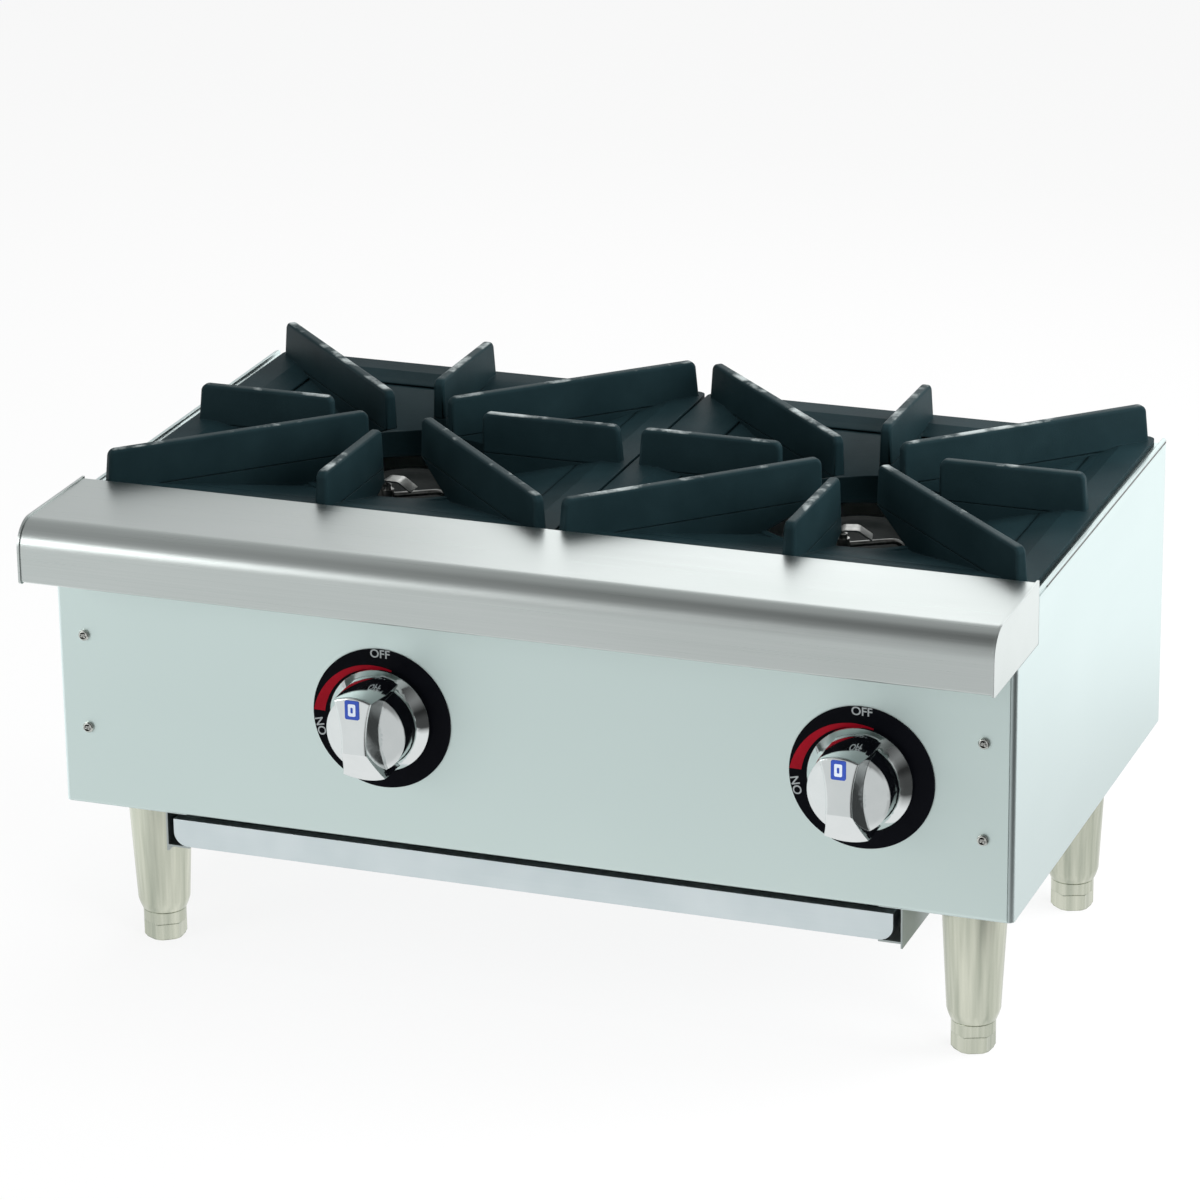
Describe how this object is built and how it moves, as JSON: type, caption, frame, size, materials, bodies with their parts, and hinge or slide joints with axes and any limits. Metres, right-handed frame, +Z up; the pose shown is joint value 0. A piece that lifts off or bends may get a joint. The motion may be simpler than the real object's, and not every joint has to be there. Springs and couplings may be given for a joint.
{
  "type": "countertop gas hotplate",
  "caption": "Countertop gas hotplate: satin steel box on tapered legs, rolled front ledge, lift-off finned cast grates over ring burners, chrome knobs on black dials and a pull-out drip tray.",
  "frame": {"origin": "middle of the footprint at the bottom of the feet", "axes": "+X to the right along the front, +Y to the back, +Z up; the knobs face -Y"},
  "size_m": [0.61, 0.4208, 0.3211],
  "materials": {
    "side_sheet": "satin stainless steel",
    "panel_sheet": "satin stainless steel",
    "rear_sheet": "mill finish steel",
    "ledge_sheet": "brushed stainless steel",
    "tray_sheet": "galvanised steel",
    "inner_sheet": "mill finish steel",
    "nickel_leg": "satin nickel plating",
    "plated_screws": "zinc plating",
    "black_pipe": "black steel pipe",
    "brass": "machined brass",
    "pilot_tube": "bare aluminium",
    "pilot_sheet": "bright steel strip",
    "burner_iron": "rough cast iron",
    "grate_iron": "cast iron, dark satin coat",
    "dial": "gloss black print",
    "blue_tile": "glossy",
    "knob_chrome": "polished chrome"
  },
  "bodies": {
    "chassis": {"control_panel": "panel_sheet", "control_panel_screws": "plated_screws", "front_burner_rail": "inner_sheet", "front_ledge": "ledge_sheet", "front_left_leg": "nickel_leg", "front_right_leg": "nickel_leg", "gas_manifold": "black_pipe", "inlet_elbow": "black_pipe", "inlet_pipe": "black_pipe", "left_burner_base": "burner_iron", "left_burner_head": "burner_iron", "left_dial_plate": "dial", "left_gas_valve": "brass", "left_ledge_cap": "ledge_sheet", "left_orifice_hood": "brass", "left_pilot_burner": "plated_screws", "left_pilot_hood": "pilot_sheet", "left_pilot_tube": "pilot_tube", "left_pilot_valve": "brass", "left_side_panel": "side_sheet", "left_tray_runner": "tray_sheet", "leg_nuts": "plated_screws", "manifold_brackets": "inner_sheet", "manifold_plug": "black_pipe", "rear_burner_rail": "inner_sheet", "rear_left_leg": "nickel_leg", "rear_panel": "rear_sheet", "rear_panel_screws": "plated_screws", "rear_right_leg": "nickel_leg", "right_burner_base": "burner_iron", "right_burner_head": "burner_iron", "right_dial_plate": "dial", "right_gas_valve": "brass", "right_ledge_cap": "ledge_sheet", "right_orifice_hood": "brass", "right_pilot_burner": "plated_screws", "right_pilot_hood": "pilot_sheet", "right_pilot_tube": "pilot_tube", "right_pilot_valve": "brass", "right_side_panel": "side_sheet", "right_tray_runner": "tray_sheet", "runner_screws": "plated_screws"},
    "left_grate_body": {"left_grate": "grate_iron"},
    "left_knob_body": {"left_knob": "knob_chrome", "left_knob_tile": "blue_tile", "left_valve_stem": "plated_screws"},
    "left_shutter_body": {"left_air_shutter": "inner_sheet"},
    "right_grate_body": {"right_grate": "grate_iron"},
    "right_knob_body": {"right_knob": "knob_chrome", "right_knob_tile": "blue_tile", "right_valve_stem": "plated_screws"},
    "right_shutter_body": {"right_air_shutter": "inner_sheet"},
    "tray_body": {"drip_tray": "tray_sheet"},
    "front_left_foot_body": {"front_left_foot": "nickel_leg"},
    "front_right_foot_body": {"front_right_foot": "nickel_leg"},
    "rear_left_foot_body": {"rear_left_foot": "nickel_leg"},
    "rear_right_foot_body": {"rear_right_foot": "nickel_leg"}
  },
  "joints": [
    {"name": "left_knob_turn", "type": "hinge", "parent": "chassis", "child": "left_knob_body", "pos_m": [-0.08995, -0.1826, 0.1888], "axis": [0, -1, 0], "range_deg": [0, 90]},
    {"name": "left_shutter_turn", "type": "hinge", "parent": "chassis", "child": "left_shutter_body", "pos_m": [-0.08995, -0.0716, 0.1888], "axis": [0, 1, 0], "range_deg": [0, 45]},
    {"name": "left_grate_lift", "type": "slide", "parent": "chassis", "child": "left_grate_body", "axis": [0, 0, 1], "range_m": [0, 0.12]},
    {"name": "right_knob_turn", "type": "hinge", "parent": "chassis", "child": "right_knob_body", "pos_m": [0.21255, -0.1826, 0.1888], "axis": [0, -1, 0], "range_deg": [0, 90]},
    {"name": "right_shutter_turn", "type": "hinge", "parent": "chassis", "child": "right_shutter_body", "pos_m": [0.21255, -0.0716, 0.1888], "axis": [0, 1, 0], "range_deg": [0, 45]},
    {"name": "right_grate_lift", "type": "slide", "parent": "chassis", "child": "right_grate_body", "axis": [0, 0, 1], "range_m": [0, 0.12]},
    {"name": "tray_slide", "type": "slide", "parent": "chassis", "child": "tray_body", "axis": [0, -1, 0], "range_m": [0, 0.28]},
    {"name": "front_left_foot_screw", "type": "slide", "parent": "chassis", "child": "front_left_foot_body", "axis": [0, 0, -1], "range_m": [0, 0.025]},
    {"name": "front_right_foot_screw", "type": "slide", "parent": "chassis", "child": "front_right_foot_body", "axis": [0, 0, -1], "range_m": [0, 0.025]},
    {"name": "rear_left_foot_screw", "type": "slide", "parent": "chassis", "child": "rear_left_foot_body", "axis": [0, 0, -1], "range_m": [0, 0.025]},
    {"name": "rear_right_foot_screw", "type": "slide", "parent": "chassis", "child": "rear_right_foot_body", "axis": [0, 0, -1], "range_m": [0, 0.025]}
  ]
}
